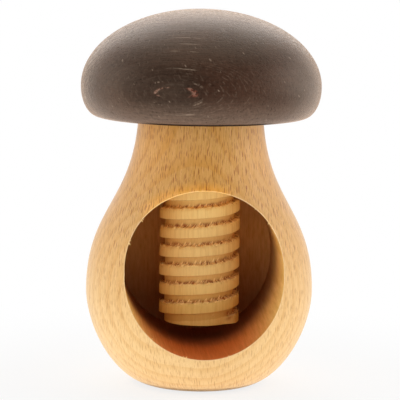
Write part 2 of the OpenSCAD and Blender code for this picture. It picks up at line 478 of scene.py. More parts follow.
def rim_splinters(size):
    """Splinters on the mouth's edge: spindles that point to its middle and a little back into it."""
    phi, long = np.array(SPLINTERS).T
    phi, long = np.radians(phi), long * size.splinter_long
    inward = points(-np.sin(phi), SPLINTER_INTO, -np.cos(phi))
    sideways = points(np.cos(phi), 0, -np.sin(phi))
    strayed = wander(np.arange(len(phi)) * 1.7, seed=3)[:, None]
    way = unit(inward + sideways * strayed * SPLINTER_ASIDE)
    root = mouth_rim(size, phi) + np.array([0, SPLINTER_BACK, 0]) - way * SPLINTER_ROOT * long[:, None]
    return fibre_sheets(root, way, long, SPLINTER_WIDE * long + SPLINTER_THIN, [0, -1.0, 0])


# Columns in one turn of the screw, and rows of its tip
TURN, TIP_ROWS = 300, 12
# Half of the ridge's section: share of the way over top, flank and root, and share of its height
RIDGE_TOP = ((0, 1), (0.35, 1), (0.6, 1), (0.8, 1), (0.93, 1), (0.985, 0.985))
RIDGE_FLANK = ((0.2, 0.9), (0.5, 0.5), (0.8, 0.12), (1.05, 0.01))
RIDGE_ROOT = ((0.4, 0), (0.8, 0))
# How far under the top the ridge starts to run out, and where it is gone
RUN_OUT, RUN_GONE = 7 * MM, 4 * MM
# Steps of the random lines along the turn, fine and coarse, that chip the ridge's edge and tear it
CHIP_FINE, CHIP_COARSE, TEETH_FINE, TEETH_COARSE = 0.8 * MM, 2.9 * MM, 0.62 * MM, 2.3 * MM
# How strong the chips are, how far from the edge they reach, and where its top is worn
CHIP_GAIN, EDGE_REACH, WEAR = 2.2, 0.55 * MM, (-1.0 * MM, 0.15 * MM)
# The torn band: where it starts, how tall it is and by how much that varies, and in what steps
BAND_START, BAND_TALL, BAND_VARIES, BAND_STEP = (-0.1 * MM, 0.12 * MM), 1.0 * MM, 0.5 * MM, 1.9 * MM


def screw_sheets(size):
    """Sheets of the press screw: threaded flank, sawn tip, top end and blind dowel hole.

    Rows follow the helix: at the share u of a turn a row lies at the tip's height plus the pitch times
    (u + whole turns) plus its own place across the ridge. Its radius is the root's plus the thread's
    depth times a flat-topped bump. Heights are held between the two ends, which cuts them square.
    Near the ridge's upper edge, smooth random lines along the turn chip it, tear it upwards and set how
    tall the torn band above it is.
    """
    edge, foot = size.ridge_w / 2, size.ridge_w / 2 + size.flank_w
    half, flank, root = np.array(RIDGE_TOP), np.array(RIDGE_FLANK), np.array(RIDGE_ROOT)
    half[:, 0] *= edge
    flank[:, 0] = edge + flank[:, 0] * size.flank_w
    root[:, 0] = foot + root[:, 0] * (size.pitch / 2 - foot)
    side = np.concatenate([half, flank, root])
    place = side[:, 0]
    gone = size.broken * eased(place, edge * 0.3, edge) * (1 - eased(place, foot, size.pitch / 2))
    across = np.concatenate([-place[:0:-1], place - gone])
    bump = np.concatenate([side[:0:-1, 1], side[:, 1]])
    first, last = -2, math.ceil((size.top_z - size.tip_z) / size.pitch) + 1
    whole = np.repeat(np.arange(first, last + 1), len(across))[:, None]
    across = np.tile(across, last - first + 1)[:, None]
    bump = np.tile(bump, last - first + 1)[:, None]
    turn = np.linspace(0, 1, TURN + 1)
    turns = whole + turn
    run = turns * math.tau * size.outer_r
    above = across - edge + size.broken
    chipped = wander(run / CHIP_FINE, seed=5) * wander(run / CHIP_COARSE, seed=6) * CHIP_GAIN
    near_top = np.exp(-(above / EDGE_REACH) ** 2) * (across > 0)
    teeth = wander(run / TEETH_FINE, seed=7) + 0.5 * wander(run / TEETH_COARSE, seed=8)
    z = size.tip_z + size.pitch * turns + across + size.teeth * near_top * np.clip(teeth, -0.4, 1)
    start = size.ridge_start / math.tau
    grown = eased(turns, start, start + size.ridge_rise / math.tau)
    grown = grown * (1 - eased(z, size.top_z - RUN_OUT, size.top_z - RUN_GONE))
    root_r = size.outer_r - size.depth
    lost = size.chip * near_top * np.clip(chipped, 0, 1) + size.worn * eased(above, *WEAR)
    radius = root_r + (size.depth - lost) * grown * bump
    z = np.clip(z, size.tip_z, size.top_z)
    plan = turn * math.tau - math.pi / 2
    flank = points(radius * np.cos(plan), radius * np.sin(plan), z)
    tall = BAND_TALL + BAND_VARIES * wander(run / BAND_STEP, seed=9)
    ended = eased(above, tall - 0.4 * MM, tall + 0.5 * MM)
    torn = eased(above, *BAND_START) * (1 - ended) * grown
    begun = 4 * grown * (1 - grown) * (turns < 1) * eased(across, -0.6 * MM, 1.2 * MM)
    torn = np.maximum(torn, begun * (0.6 + 0.4 * wander(z / (0.5 * MM), seed=15)))

    ring = points(np.cos(plan), np.sin(plan), 0)
    tip = ring * root_r * (1 - rows_of(TIP_ROWS)) + UP * size.tip_z
    bored = run_along((root_r, size.top_z), (size.dowel_r, size.top_z), (size.dowel_r, size.dowel_z),
                      (0, size.dowel_z), step=4 * MM)
    bored = ring * bored[:, :1, None] + UP * bored[:, 1:, None]
    return [(flank, {"torn": torn, "edged": grown, "groove": 1 - bump}),
            (tip, {"groove": 0.3}), (bored, {"groove": 1.0})]


# A spindle: share of its length, and share of its full width there; its sides; thickness to width
SPINDLE = ((0, 0), (0.25, 1.0), (0.65, 0.7), (1.0, 0))
SPINDLE_SIDES, SPINDLE_FLAT = 4, 0.5


def fibre_sheets(root, way, long, wide, facing):
    """Torn fibres: flat spindles, each along its own way, its broad side facing a given way.

    A spindle is a flattened ring carried along a straight line, widest near its root and closed at both
    ends. Each is one grid: rows along it, columns round it.
    """
    along, thick = np.array(SPINDLE).T
    aside = unit(np.cross(way, facing))
    other = SPINDLE_FLAT * np.cross(way, aside)
    turn = np.linspace(0, math.tau, SPINDLE_SIDES + 1)
    ring = aside[:, None] * np.cos(turn)[:, None] + other[:, None] * np.sin(turn)[:, None]
    spine = root[:, None] + way[:, None] * long[:, None, None] * along[:, None]
    grids = spine[:, :, None] + ring[:, None] * (wide[:, None] * thick)[:, :, None, None]
    return [(grid, {}) for grid in grids]


# Turns of the ridge that carry fibres, and how far a fibre may rise
FIBRE_TURNS, FIBRE_RISE = (0.16, 7.2), 1.35 * MM
# Their lean in radians, as mean, spread and ends, how far they stand out, and how deep they are rooted
FIBRE_LEAN, LEAN_ENDS, FIBRE_OUT, FIBRE_ROOT = (0.75, 0.25), (-0.1, 1.2), (-0.06, 0.08), 0.3 * MM
# Shares of the longest and of the widest fibre, and the power that makes long ones rare
FIBRE_LONG, FIBRE_WIDE, FIBRE_RARE = (0.3, 1.0), (0.45, 1.0), 1.4


def screw_fibres(size):
    """Fibres on the ridge's upper edge: they lean to the right along the turn, and out a little."""
    chance = np.random.default_rng(11)
    count = size.fibres
    turns = chance.uniform(*FIBRE_TURNS, count)
    plan = turns * math.tau - math.pi / 2
    outward = points(np.cos(plan), np.sin(plan), 0)
    onward = points(-np.sin(plan), np.cos(plan), 0)
    lean = np.clip(chance.normal(*FIBRE_LEAN, count), *LEAN_ENDS)[:, None]
    out = chance.uniform(*FIBRE_OUT, count)[:, None]
    way = unit(np.cos(lean) * UP + np.sin(lean) * onward + out * outward)
    long = size.fibre_long * chance.uniform(*FIBRE_LONG, count) ** FIBRE_RARE
    long = np.minimum(long, FIBRE_RISE / np.maximum(way[:, 2], 0.1))
    wide = size.fibre_wide * chance.uniform(*FIBRE_WIDE, count)
    height = size.tip_z + size.pitch * turns + size.ridge_w / 2 - size.broken - FIBRE_ROOT
    sunk = size.worn / 2 + chance.uniform(0.0, 0.12, count)[:, None] * MM
    root = outward * (size.outer_r - sunk) + UP * height[:, None]
    return fibre_sheets(root, way, long, wide, outward)


CAP_COLUMNS, LIP_ROWS, DOME_ROWS = 240, 40, 110


def cap_sheets(size):
    """The cap, a half section turned about Z.

    It runs through the blind dowel hole, the socket and the flat underside in straight lines, then up
    the lip and the dome, each a quarter of an ellipse.
    """
    a = np.linspace(0, math.pi / 2, LIP_ROWS)[1:]
    lip = points(size.flat_r + (size.radius - size.flat_r) * np.sin(a),
                 size.under_z + (size.widest_z - size.under_z) * (1 - np.cos(a)))
    b = np.linspace(0, math.pi / 2, DOME_ROWS)[1:]
    dome = points(size.radius * np.cos(b), size.widest_z + (size.top_z - size.widest_z) * np.sin(b))
    dome[-1, 0] = 0
    hollow = run_along((0, size.dowel_z), (size.dowel_r, size.dowel_z), (size.dowel_r, size.socket_z),
                       (size.socket_r, size.socket_z), (size.socket_r, size.under_z),
                       (size.flat_r, size.under_z), step=3 * MM)
    section = np.concatenate([hollow, lip, dome])
    return [(turned(section[:, 0], section[:, 1], CAP_COLUMNS), {})]


def operation(name, swapped=False):
    """A method that adds a Math node for a value and another, which comes first if swapped."""
    def method(self, other=0.0):
        first, second = (other, self) if swapped else (self, other)
        return self.finish.node("Math", {"operation": name}, {0: first, 1: second})
    return method


class Value:
    """A shader socket in a Python expression: each operation on it adds a Math node."""

    def __init__(self, finish, socket):
        self.finish, self.socket = finish, socket

    def __getitem__(self, name):
        """Another output of the same node."""
        return Value(self.finish, self.socket.node.outputs[name])

    __add__ = __radd__ = operation("ADD")
    __mul__ = __rmul__ = operation("MULTIPLY")
    __sub__, __rsub__ = operation("SUBTRACT"), operation("SUBTRACT", swapped=True)
    __truediv__, __pow__, __abs__ = operation("DIVIDE"), operation("POWER"), operation("ABSOLUTE")
    whole, fraction = operation("FLOOR"), operation("FRACT")
    or_more, bearing = operation("MAXIMUM"), operation("ARCTAN2")

    def squared(self):
        return self * self

    def clamped(self):
        """Held between 0 and 1."""
        return self.finish.node("Clamp", {}, {0: self})


class Finish:
    """Builds one node tree."""

    def __init__(self, tree):
        self.tree = tree
        tree.nodes.clear()

    def node(self, kind, settings=None, values=None, output=0):
        """Adds a node: its settings first, then its sockets' values or links, by name or number."""
        made = self.tree.nodes.new("ShaderNode" + kind)
        for key, value in (settings or {}).items():
            setattr(made, key, value)
        for key, value in (values or {}).items():
            socket = made.inputs[key]
            if isinstance(value, Value):
                self.tree.links.new(value.socket, socket)
            elif socket.type == "RGBA":
                socket.default_value = (*value[:3], 1.0)
            else:
                socket.default_value = value
        return Value(self, made.outputs[output]) if made.outputs else None

    def place(self):
        """Object coordinates in millimetres."""
        metres = self.node("TexCoord", output="Object")
        return self.node("VectorMath", {"operation": "SCALE"}, {0: metres, "Scale": 1 / MM})

    def moved(self, place, centre):
        """Coordinates with their origin moved to a centre."""
        return self.node("VectorMath", {"operation": "SUBTRACT"}, {0: place, 1: centre})

    def turned(self, place, turn):
        """Coordinates turned about Z."""
        return self.node("VectorRotate", {"rotation_type": "Z_AXIS"}, {"Vector": place, "Angle": turn})

    def stretched(self, place, *factors):
        """Coordinates multiplied along each axis."""
        return self.node("VectorMath", {"operation": "MULTIPLY"}, {0: place, 1: factors})

    def parts(self, place):
        """Coordinates taken apart."""
        return self.node("SeparateXYZ", {}, {0: place})

    def joined(self, x, y, z=0.0):
        """Coordinates put together."""
        return self.node("CombineXYZ", {}, {0: x, 1: y, 2: z})

    def far(self, place):
        """Distance from the origin."""
        return self.node("VectorMath", {"operation": "LENGTH"}, {0: place}, "Value")

    def held(self, name):
        """A value that the mesh holds at each of its points."""
        return self.node("Attribute", {"attribute_name": name}, {}, "Fac")

    def noise(self, place, factors, detail=2.0, rough=0.5):
        """Smooth noise about 0.5, with so many waves to the millimetre along each axis."""
        return self.node("TexNoise", {"noise_dimensions": "3D"},
                         {"Vector": self.stretched(place, *factors), "Scale": 1.0, "Detail": detail,
                          "Roughness": rough})

    def ease(self, value, low, high):
        """Smooth step from 0 at low to 1 at high."""
        return self.node("MapRange", {"interpolation_type": "SMOOTHSTEP"},
                         {"Value": value, "From Min": low, "From Max": high})

    def mix(self, amount, first, second, way="MIX"):
        """Colour between two, or the first with the second laid over it in another way."""
        return self.node("Mix", {"data_type": "RGBA", "blend_type": way},
                         {0: amount, 6: first, 7: second}, 2)

    def lightness(self, colour, red, green, blue):
        """Colour whose red, green and blue are each multiplied by 1 plus a shade."""
        factor = self.node("CombineColor", {"mode": "RGB"},
                           {0: 1.0 + red, 1: 1.0 + green, 2: 1.0 + blue})
        return self.mix(1.0, colour, factor, "MULTIPLY")

    def flecks(self, flat, across, along, size):
        """Short dashes: spots round the points of a flat Voronoi field, so far apart each way.

        A negative distance across mirrors the field, for another set of dashes.
        """
        cell = self.node("TexVoronoi", {"feature": "F1", "voronoi_dimensions": "2D"},
                         {"Vector": self.stretched(flat, 1 / across, 1 / along, 0.0), "Scale": 1.0})
        pick = self.node("SeparateColor", {}, {0: cell["Color"]})
        limit = (pick * 0.6 + 0.4) * size
        return (1 - self.ease(cell["Distance"] / limit, 0.6, 1.0)) * (pick["Green"] * 0.55 + 0.45)

    def surface(self, values, height=None, deep=0.05, dull=None):
        """Principled surface with an optional bump, its depth in millimetres, and the output node.

        Where the dull share is 1 it has the same colour and bump, but neither gloss nor sheen.
        """
        values = dict(values)
        if height is not None:
            bump = {"Strength": 1.0, "Distance": deep * MM, "Height": height}
            values["Normal"] = self.node("Bump", {}, bump)
        skin = self.node("BsdfPrincipled", {}, values)
        if dull is not None:
            kept = {key: values[key] for key in ("Base Color", "Normal")}
            kept.update({"Roughness": 0.9, "Specular IOR Level": 0.1})
            plain = self.node("BsdfPrincipled", {}, kept)
            skin = self.node("MixShader", {}, {0: dull, 1: skin, 2: plain})
        self.node("OutputMaterial", {}, {"Surface": skin})


def new_finish(name):
    """An empty material and the builder of its nodes."""
    material = bpy.data.materials.new(name)
    material.use_nodes = True
    return material, Finish(material.node_tree)


# Lengths in the finishes are in millimetres.
# The stem's growth rings: their upright axis, how far it lies behind the front, and their step.
PITH, PITH_TO_FRONT, BEECH_STEP = (14.0, 70.0, 0.0), 112.0, 3.1
# Painted glow of light above the mouth: its way from the mouth's middle,
# and how far from there it fades out.
BROW_X, BROW_Z, BROW_FADE = -0.225, 0.974, (30.1, 34.4)


def painted_glow_above_mouth(f, part, middle):
    """Share of a painted glow of light above the mouth: a wedge from the mouth's middle, close to the
    rim.
    """
    over = part["Z"] - middle
    from_mouth = (part["X"].squared() + over.squared()) ** 0.5
    wedge = f.ease((over * BROW_Z + part["X"] * BROW_X) / from_mouth, 0.79, 0.93)
    return wedge * (1 - f.ease(from_mouth, *BROW_FADE)) * (1 - f.ease(part["Y"], -10.0, 0.0))


def beech_finish(tones, size):
    """Oiled beech: short dark rays along Z, fibre lines, and faint growth rings.

    The rings are cylinders round the pith, an upright axis behind the stem, and the rays run out from
    it. Wood is warmer, its rays darker and its polish brighter towards the neck, and a painted glow of
    light warms the wood just above the mouth. The bored chamber is dull and lined along the bore, and a
    painted shade makes it redder and darker deeper in and towards its foot.
    """
    material, f = new_finish("oiled_beech")
    place = f.place()
    part = f.parts(place)
    upright = part["Z"]
    high = f.ease(upright, 15.0, 85.0)
    inside, deep, rim = f.held("inside"), f.held("deep"), f.held("rim")

    from_pith = f.moved(place, PITH)
    drift = f.noise(place, (0.03, 0.03, 0.012), 1.0)
    ring = ((f.far(f.stretched(from_pith, 1.0, 1.0, 0.0)) + drift * 5.0) / BEECH_STEP).fraction()
    late = f.ease(ring, 0.35, 0.95) * (1 - f.ease(ring, 0.95, 1.0))
    side = f.parts(from_pith)
    rays = f.joined(side["X"].bearing(0 - side["Y"]) * PITH_TO_FRONT, side["Z"])
    dark = f.flecks(rays, 0.85, 7.0, 0.25)
    small = f.flecks(rays, -0.7, 5.0, 0.25)
    streak = f.noise(rays, (2.4, 0.14, 0.0), 2.0, 0.6)
    fibre = f.noise(place, (4.0, 4.0, 0.2), 3.0, 0.65)
    broad = f.noise(place, (0.045, 0.045, 0.02), 2.0)
    lined = f.noise(place, (1.6, 0.06, 0.25), 3.0, 0.6)

    warm = high * 0.75 + late * (0.22 - high * 0.12) + (broad - 0.5) * 0.4 + 0.04
    colour = f.mix(warm.clamped(), tones.beech_pale, tones.beech_warm)
    # Painted shade: the chamber turns redder and darker deeper in and towards its floor, darkest at the
    # foot of its back
    bore_shade_share = (deep * 0.5).or_more(1 - f.ease(upright, 15.0, 36.0))
    bored = f.mix(bore_shade_share, tones.bore_pale, tones.bore_shaded_red)
    bored = f.mix(f.ease(deep, 0.3, 0.75) * (1 - f.ease(upright, 18.0, 58.0)), bored, tones.bore_deep)
    colour = f.mix(inside * 0.9, colour, bored)
    # Paler rounded rim: partly sanded wood, partly a painted highlight of the edge
    colour = f.mix(rim * 0.75, colour, tones.rim_pale_and_highlight)
    shade = ((fibre - 0.5) * 0.3 + (streak - 0.5) * (1 - inside) * (high * 0.45 + 0.4)
             + (lined - 0.5) * inside * 0.7)
    # Painted light: a warm glow lightens the wood just above the mouth
    glow_above_mouth = painted_glow_above_mouth(f, part, mouth_middle(size) / MM) * (1 - inside)
    colour = f.lightness(colour, shade * 0.68 + glow_above_mouth * 0.33, shade + glow_above_mouth * 0.24,
                         shade * (high * 1.2 + 1.6) - glow_above_mouth * 0.1)
    marks = (dark + small * 0.75).clamped() * (high * 0.5 + 0.5) * (1 - inside) * (1 - rim)
    colour = f.mix(marks, colour, tones.beech_fleck, "MULTIPLY")
    rough = 0.48 + (fibre - 0.5) * 0.14 + inside * 0.45
    height = (fibre - 0.5) * 0.5 - marks * 0.5
    f.surface({"Base Color": colour, "Roughness": rough, "Specular IOR Level": 0.2,
               "Sheen Weight": 0.34, "Sheen Roughness": 0.36, "Sheen Tint": (1.0, 0.95, 0.85),
               "Coat Weight": high * 0.48, "Coat Roughness": 0.45}, height, 0.05, inside)
    return material


def blades(f, along, above, spacing, lean, tall):
    """Torn blades of wood: pale strokes that stand on the ridge's upper edge, lean and taper.

    Each lies round a point of a Voronoi field along the turn and has its own height.
    """
    cell = f.node("TexVoronoi", {"feature": "F1", "voronoi_dimensions": "1D"},
                  {"W": (along - above * lean) / spacing, "Scale": 1.0})
    reach = (f.node("SeparateColor", {}, {0: cell["Color"]}) * 0.75 + 0.25) * tall
    wide = (1 - above / reach).clamped() * 0.34 + 0.001
    return 1 - f.ease(cell["Distance"] / wide, 0.75, 1.0)


# Shifts along the turn that keep the torn wood of each turn, and of each row of blades, its own.
TURN_SHIFT, ROW_SHIFT = 53.7, 37.0


def screw_finish(tones, size):
    """Raw beech as cut: faint upright grain, and above the ridge a red-brown band with blades: partly
    torn wood, partly painted shade.

    The height above the ridge's edge is what is left of the height over the tip, less the share of a
    turn times the pitch, after whole pitches are taken off. A painted shade darkens the wood towards
    the tip and a little in the middle, and a painted light makes it paler at the top.
    """
    material, f = new_finish("cut_beech")
    place = f.place()
    part = f.parts(place)
    upright = part["Z"]
    angle = part["X"].bearing(0 - part["Y"])
    pitch, edge = size.pitch / MM, (size.ridge_w / 2 - size.broken) / MM
    turns = (upright - size.tip_z / MM) / pitch - angle / math.tau
    above = turns.fraction() * pitch - edge
    along = angle * (size.outer_r / MM) + turns.whole() * TURN_SHIFT
    torn, edged, groove = f.held("torn"), f.held("edged"), f.held("groove")

    grain = f.noise(place, (1.4, 1.4, 0.09), 3.0, 0.6)
    fine = f.noise(place, (6.0, 6.0, 0.4), 2.0, 0.6)
    ragged = f.ease(f.noise(place, (0.5, 0.5, 0.5), 2.0), 0.3, 0.6)
    standing = blades(f, along, above, 1.0, 0.8, 1.5).or_more(
        blades(f, along + ROW_SHIFT, above, 2.6, 0.5, 2.2))
    standing = standing * edged * f.ease(above, -0.15, 0.1) * (1 - f.ease(above, 2.0, 2.4))

    colour = f.mix(f.ease(grain, 0.4, 0.8) * 0.6, tones.screw_pale, tones.screw_warm)
    # Painted shade at the thread's root
    colour = f.mix(groove * 0.45, colour, tones.groove_shade)
    # Painted shade darkens the screw a little in its middle, and painted light makes it paler at the
    # top
    shaded_middle = f.ease(upright, 36.0, 50.0) * (1 - f.ease(upright, 56.0, 68.0))
    level = (fine - 0.5) * 0.2 - shaded_middle * 0.08
    lit_top = f.ease(upright, 54.0, 72.0)
    colour = f.lightness(colour, level, level + lit_top * 0.13, level + lit_top * 0.23)
    # Painted shade towards the tip
    colour = f.mix(1 - f.ease(upright, 26.0, 46.0), colour, tones.tip_shade, "MULTIPLY")
    # Red-brown band above the ridge: partly torn wood, partly painted shade
    colour = f.mix(torn * (ragged * 0.45 + 0.35), colour, tones.torn_and_shade)
    colour = f.mix(standing * 0.8, colour, tones.fibre_pale)
    height = (fine - 0.5) * 0.6 + (grain - 0.5) * 0.5 - torn * 0.2
    f.surface({"Base Color": colour, "Roughness": 0.72 + (fine - 0.5) * 0.1, "Specular IOR Level": 0.3},
              height, 0.1)
    return material


def fibre_finish(tones):
    """Bare torn fibres, in places as warm as the grain lines."""
    material, f = new_finish("torn_fibre")
    speck = f.noise(f.place(), (1.2, 1.2, 0.8), 2.0)
    colour = f.mix(f.ease(speck, 0.5, 0.72), tones.fibre_pale, tones.screw_warm)
    f.surface({"Base Color": colour, "Roughness": 0.8, "Specular IOR Level": 0.2})
    return material


# The cap's year rings: their middle and its turn, their outermost point, how fast they curve, their
# step, the radius that they are seen at, and the layers that show as pale lines.
STAIN_MIDDLE, STAIN_TURN = (0.0, 0.0, 114.0), math.radians(15.5)
STAIN_FRONT, STAIN_CURVE, STAIN_STEP, STAIN_R = 44.6, 0.0424, 0.95, 42.0
PALE_LAYERS = (4.8, 14.3, 20.0, 25.8)
# Heart of the rings, beside their middle, and the layers that are worn round it.
HEART_X, HEART_Z = 0.8, -1.1
RED_LAYER, RED_CURVE, NEXT_LAYER = 0.49, 0.09, 1.42
# Ellipse, from the front, at whose edge the frost and painted sheen are strongest: squares of its half
# axes, and its middle.
OUTLINE_WIDE, OUTLINE_TALL, OUTLINE_Z = 2000.0, 812.0, -2.5


def worn_marks(f, across, up, layer, ragged):
    """Worn places on the two innermost rings, red ones and short pale ones.

    The red ones lie left and right of the heart, wider on the right, the pale ones outside them.
    """
    aside, from_heart = abs(across - HEART_X), (up - HEART_Z).squared()
    widened = f.ease(across, -3.0, 3.0) * 0.09
    red = 1 - f.ease(abs(layer + from_heart * RED_CURVE - RED_LAYER) - widened, 0.02, 0.17)
    red = red * ragged * f.ease(aside, 2.6, 3.8) * f.ease(up, -3.0, -2.2)
    pale = 1 - f.ease(abs(layer + from_heart * STAIN_CURVE - NEXT_LAYER), 0.04, 0.2)
    return red, pale * ragged * f.ease(aside, 5.2, 6.2) * (1 - f.ease(aside, 8.0, 9.2))


def stain_finish(tones):
    """Dark stain on flat-cut wood, worn pale along its year rings, frosted and with a painted sheen at
    the edges.

    The rings are layers: the depth behind the front plus a share of the height squared, so that they
    meet the turned form in ellipses. A few show as pale lines above each other, the rest as faint
    broken arcs, and those at the heart as worn marks. Grain runs along X, a finer one crosses it, and
    specks and pores are strewn over it. A fine pale weave at the crown and at both ends is partly stain
    rubbed off the grain and partly a painted sheen, strongest along the dome's outline seen from the
    front and on the right side. A painted shade darkens the lip's foot in front of the neck.
    """
    material, f = new_finish("dark_stain")
    place = f.place()
    local = f.turned(f.moved(place, STAIN_MIDDLE), STAIN_TURN)
    part = f.parts(local)
    across, out, up = part["X"], 0 - part["Y"], part["Z"]
    from_left = f.parts(place)["X"]
    sideways = abs(from_left)
    drift = f.noise(local, (0.06, 0.06, 0.09), 2.0) - 0.5
    inward = STAIN_FRONT - out
    layer = inward + up.squared() * STAIN_CURVE + drift * 0.8

    middle = 1 - f.ease(abs(across - 1.5), 2.5, 6.5)
    thready = f.ease(f.noise(local, (0.25, 1.5, 1.5), 2.0), 0.36, 0.56)
    lines = sum(1 - f.ease(abs(layer - depth), 0.08, 0.3) for depth in PALE_LAYERS) * middle * thready
    ring = abs((layer / STAIN_STEP).fraction() - 0.5)
    broken = f.ease(f.noise(local, (0.45, 0.45, 0.45), 2.0, 0.6), 0.46, 0.62)
    near = (1 - f.ease(layer, 7.0, 13.0)) * (f.ease(across, -2.0, 9.0) * 0.65 + 0.35)
    arcs = (1 - f.ease(ring, 0.04, 0.2)) * broken * near
    speckle = f.noise(local, (0.9, 0.9, 0.9), 3.0, 0.7)
    mark, second = worn_marks(f, across, up, inward + drift * 0.5, f.ease(speckle, 0.4, 0.56))
    skin = f.joined(across.bearing(out) * STAIN_R + up * 0.6, up)
    specks = f.flecks(skin, 9.0, 13.0, 0.045)
    pores = f.flecks(skin, 1.9, 5.5, 0.2)
    shut = f.flecks(skin, -1.7, 5.0, 0.2)

    grain = f.noise(local, (0.05, 1.5, 1.5), 4.0, 0.7)
    cross = f.noise(place, (2.0, 2.0, 0.14), 3.0, 0.7)
    lathe = f.noise(place, (0.03, 0.03, 2.0), 2.0, 0.6)
    rubbed = (grain - 0.5) * 1.4 + (cross - 0.5) * 0.7 + (lathe - 0.5) * 0.6
    plies = f.noise(f.joined(across, layer, up), (0.07, 1.5, 0.07), 3.0, 0.65)
    weave = f.ease(plies * 0.4 + speckle * 0.6, 0.4, 0.61)
    rimmed = f.ease(sideways.squared() / OUTLINE_WIDE + (up - OUTLINE_Z).squared() / OUTLINE_TALL, 0.77, 1.07)
    ends = f.ease(sideways, 26.0, 43.0).or_more(f.ease(up, 7.0, 18.0))
    # Pale weave: partly rubbed-off stain, partly a painted sheen at the front-view outline, the crown
    # and the right side
    frost_and_sheen = (weave * (rimmed * 0.25 + 0.02) + ends * 0.075 + f.ease(up, 21.8, 26.2) * 0.24
             + f.ease(from_left, 27.0, 43.0) * 0.1)
    # Painted shade: a dark line along the lip's foot in front of the neck
    foot = (1 - f.ease(up, -13.2, -12.5)) * (1 - f.ease(sideways, 17.0, 29.0))

    cloud = f.noise(local, (0.05, 0.06, 0.09), 3.0, 0.6)
    colour = f.mix(f.ease(cloud, 0.38, 0.7) * 0.6, tones.stain_dark, tones.stain_brown)
    # Darker heart on the cap's front: partly stain, partly painted shade
    colour = f.mix((1 - f.ease(layer, 0.5, 9.0)) * 0.8, colour, tones.heart_stain_and_shade)
    right = f.ease(across, 3.0, 15.0) * (1 - f.ease(across, 30.0, 42.0))
    colour = f.mix(right * (1 - f.ease(abs(up + 1.0), 5.0, 14.0)) * 0.5, colour, tones.stain_red)
    # Painted reflection: the lip's lower part is paler, as if it mirrored the white table
    colour = f.mix((1 - f.ease(up, -13.5, -2.0)) * 0.55, colour, tones.lip_painted_reflection)
    colour = f.lightness(colour, rubbed, rubbed, rubbed)
    colour = f.mix(frost_and_sheen, colour, tones.frost_and_sheen_tone)
    colour = f.mix(shut * 0.3, colour, tones.stain_dark)
    pale = (lines * 0.7 + arcs * 0.12 + specks * 0.5 + pores * 0.08 + second * 0.4).clamped()
    colour = f.mix(pale, colour, tones.stain_pale)
    bare = (f.ease(speckle, 0.5, 0.58) * 0.35 + (1 - f.ease(across, -3.0, 3.0)) * 0.25
            + f.ease(up, -0.2, 1.6) * 0.3)
    colour = f.mix(mark * 0.8, colour, f.mix(bare.clamped(), tones.worn_red, tones.stain_pale))
    colour = f.mix(foot, colour, tones.lip_shade)
    rough = 0.32 + (grain - 0.5) * 0.3 + (cross - 0.5) * 0.2
    height = rubbed * 0.8 + pale * 0.3 + weave * (rimmed * 0.45 + 0.12)
    dull = foot + (1 - foot) * (1 - weave) * (rimmed * 0.33 + 0.15)
    f.surface({"Base Color": colour, "Roughness": rough, "Specular IOR Level": 0.35,
               "Specular Tint": (1.0, 0.74, 0.54), "Sheen Weight": 1.0, "Sheen Roughness": 0.3,
               "Sheen Tint": (1.0, 0.7, 0.5)}, height, 0.08, dull)
    return material


def dowel_finish(tones):
    """Raw turned beech of the hidden dowel."""
    material, f = new_finish("dowel_beech")
    grain = f.noise(f.place(), (3.0, 3.0, 0.1), 3.0, 0.6)
    colour = f.mix(f.ease(grain, 0.35, 0.7), tones.screw_pale, tones.screw_warm)
    f.surface({"Base Color": colour, "Roughness": 0.6 + (grain - 0.5) * 0.2}, grain, 0.04)
    return material


def add_piece(name, sheets, material, body, slot, *nodes):
    """Sews a piece and gives it its finish, its body and the nodes that it stands for.

    The slot is not used.
    """
    piece = sewn(name, sheets)
    piece.data.materials.append(material)
    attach(piece, body)
    if nodes:
        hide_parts(*nodes)


class NUTCRACKER_OT_stem(bpy.types.Operator):
    """Turn the stem, bore its chamber, cut the thread in its neck and leave splinters on the rim"""

    bl_idname = "nutcracker.stem"
    bl_label = "Turn the stem"

    def execute(self, context):
        scene = context.scene
        size, tones = scene.nutcracker_stem, scene.nutcracker_tones
        sheets = stem_sheets(size, scene.nutcracker_screw)
        add_piece("stem_body", sheets, beech_finish(tones, size), "stem", "body_wood", "body")
        add_piece("rim_splinters", rim_splinters(size), fibre_finish(tones), "stem", "body_wood")
        return {"FINISHED"}


class NUTCRACKER_OT_screw(bpy.types.Operator):
    """Cut the press screw and raise the torn fibres of its thread"""

    bl_idname = "nutcracker.screw"
    bl_label = "Cut the press screw"

    def execute(self, context):
        size, tones = context.scene.nutcracker_screw, context.scene.nutcracker_tones
        add_piece("press_screw_thread", screw_sheets(size), screw_finish(tones, size),
                  "cap_and_screw", "screw_wood", "press_screw")
        add_piece("screw_fibres", screw_fibres(size), fibre_finish(tones),
                  "cap_and_screw", "screw_wood")
        return {"FINISHED"}


class NUTCRACKER_OT_cap(bpy.types.Operator):
    """Turn and stain the cap"""

    bl_idname = "nutcracker.cap"
    bl_label = "Turn the cap"

    def execute(self, context):
        sheets = cap_sheets(context.scene.nutcracker_cap)
        finish = stain_finish(context.scene.nutcracker_tones)
        add_piece("mushroom_cap", sheets, finish, "cap_and_screw", "cap_stain", "cap")
        return {"FINISHED"}


class NUTCRACKER_OT_dowel(bpy.types.Operator):
    """Finish the hidden dowel, which keeps its own solid"""

    bl_idname = "nutcracker.dowel"
    bl_label = "Finish the dowel"

    def execute(self, context):
        dowel = frame["nodes"]["cap_dowel"]
        dowel.data.materials.clear()
        dowel.data.materials.append(dowel_finish(context.scene.nutcracker_tones))
        return {"FINISHED"}


WHITE = (1, 1, 1)
FLOOR_RINGS = np.array([0, 0.05, 0.1, 0.2, 0.5, 1.5, 4.0, 8.0])
FLOOR_COLUMNS, FLOOR_DROP = 64, 0.2 * MM
